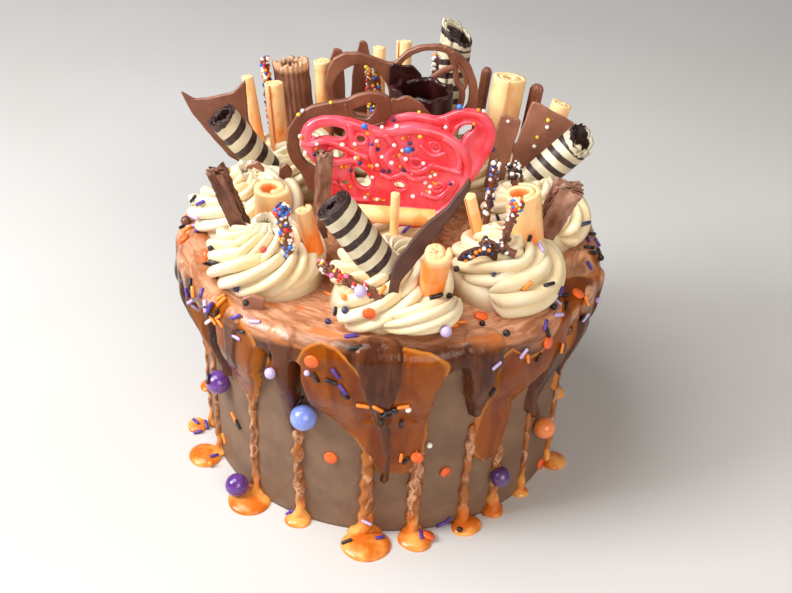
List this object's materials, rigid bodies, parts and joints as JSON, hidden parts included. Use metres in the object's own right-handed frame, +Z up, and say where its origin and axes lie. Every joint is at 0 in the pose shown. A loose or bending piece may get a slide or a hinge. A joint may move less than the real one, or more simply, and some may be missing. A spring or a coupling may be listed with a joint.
{
  "type": "drip cake",
  "caption": "Tall round chocolate cake with caramel and chocolate drips, piped cream rosettes and a crown of wafer rolls, caramel curls, chocolate plates and pink lace",
  "frame": {"origin": "centre of the cake's flat underside", "axes": "+Z up along the cake's axis, -Y towards the front that the picture shows, +X to the right"},
  "size_m": [0.2065, 0.2143, 0.186],
  "materials": {
    "icing": "satin chocolate icing with glossy runs",
    "cream": "soft matt cream",
    "wafer": "matt baked wafer, dark and ivory bands",
    "caramel": "satin caramel chocolate",
    "chocolate": "satin milk chocolate",
    "dark": "satin dark chocolate",
    "pink": "glossy candy",
    "beaded": "coated in sugar beads",
    "pearl_purple": "polished sugar",
    "pearl_blue": "polished sugar",
    "pearl_orange": "polished sugar"
  },
  "bodies": {
    "root": {"cake": "icing", "rosette_1": "cream", "rosette_2": "cream", "rosette_3": "cream", "rosette_4": "cream", "rosette_5": "cream", "rosette_6": "cream", "rosette_7": "cream", "rosette_8": "cream", "rosette_middle": "cream", "wafer_roll_left": "wafer", "wafer_roll_front": "wafer", "wafer_roll_right": "wafer", "wafer_roll_back": "wafer", "curl_left_thin": "caramel", "curl_left_tall": "caramel", "curl_back_left": "caramel", "curl_back_1": "caramel", "curl_back_2": "caramel", "curl_back_right": "caramel", "curl_far_right": "caramel", "curl_left_wide": "caramel", "curl_left_short": "caramel", "curl_front": "caramel", "curl_front_thin": "caramel", "curl_right": "caramel", "curl_right_thin": "caramel", "curl_flat": "caramel", "flake_left": "chocolate", "flake_middle": "chocolate", "flake_right": "chocolate", "ridged_stick_back": "chocolate", "ridged_stick_right": "chocolate", "cup_left": "chocolate", "cup_back": "dark", "beaded_stick_left": "beaded", "beaded_stick_front_left": "beaded", "beaded_stick_front": "beaded", "beaded_stick_back_1": "beaded", "beaded_stick_back_2": "beaded", "beaded_stick_right_1": "beaded", "beaded_stick_right_2": "beaded", "beaded_stick_right_3": "beaded", "beaded_stick_right_4": "beaded", "plate_left": "chocolate", "plate_front": "chocolate", "plate_right": "chocolate", "plate_far_right": "chocolate", "plate_middle": "dark", "plate_back_1": "chocolate", "plate_back_2": "chocolate", "loop_back": "chocolate", "loop_front": "chocolate", "lace_front": "pink", "lace_back": "pink", "pearl_wall_purple": "pearl_purple", "pearl_wall_blue": "pearl_blue", "pearl_low_purple": "pearl_purple", "pearl_dark": "pearl_purple", "pearl_orange": "pearl_orange"}
  },
  "joints": []
}
